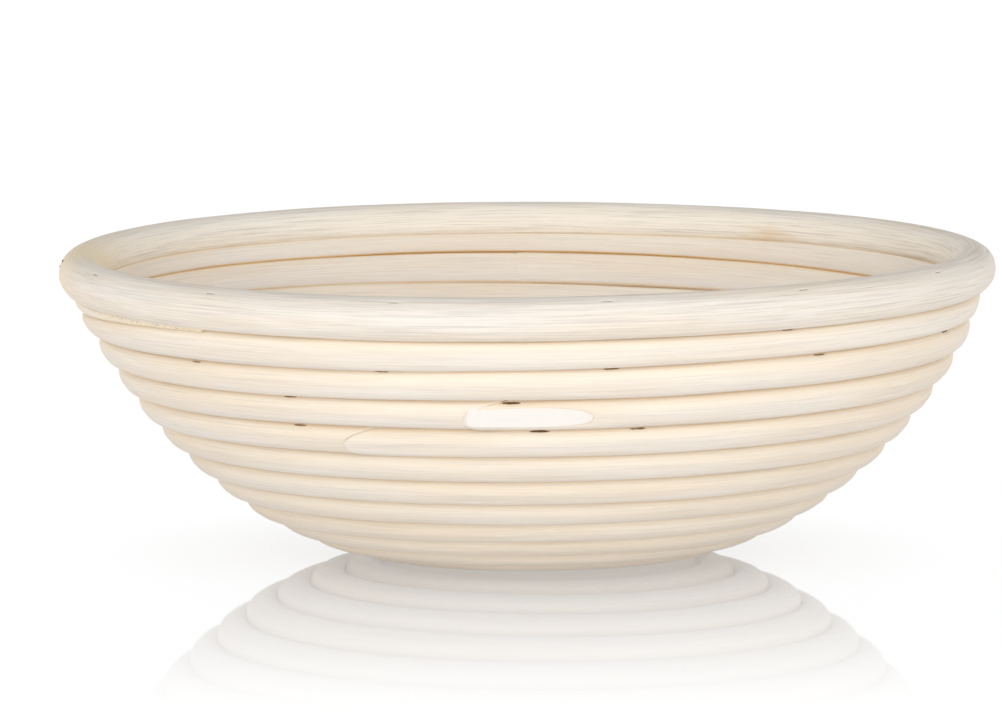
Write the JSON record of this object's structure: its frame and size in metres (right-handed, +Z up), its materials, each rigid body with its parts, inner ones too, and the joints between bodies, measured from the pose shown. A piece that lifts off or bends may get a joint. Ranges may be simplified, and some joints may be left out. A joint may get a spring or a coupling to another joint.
{
  "type": "proofing basket",
  "caption": "Round bowl-shaped dough proofing basket of coiled natural cane with a heavier rim ring and a flat base.",
  "frame": {"origin": "centre of the base, on the surface the basket stands on", "axes": "+Z up out of the mouth, -Y towards the front, +X to the right"},
  "size_m": [0.25, 0.25, 0.0818],
  "materials": {
    "coil_cane": "matte bleached rattan core",
    "rim_cane": "matte bleached rattan core, coarser fibre",
    "staple_wire": "dull, darkened by moisture"
  },
  "bodies": {
    "root": {"center_cane": "coil_cane", "base_cane": "coil_cane", "heel_cane": "coil_cane", "lower_wall_cane": "coil_cane", "middle_wall_cane": "coil_cane", "upper_wall_cane": "coil_cane", "top_cane": "coil_cane", "rim_cane": "rim_cane", "center_staples": "staple_wire", "base_staples": "staple_wire", "heel_staples": "staple_wire", "lower_wall_staples": "staple_wire", "middle_wall_staples": "staple_wire", "upper_wall_staples": "staple_wire", "top_staples": "staple_wire", "rim_staples": "staple_wire", "splice_staples": "staple_wire", "rim_splice_brads": "staple_wire"}
  },
  "joints": []
}
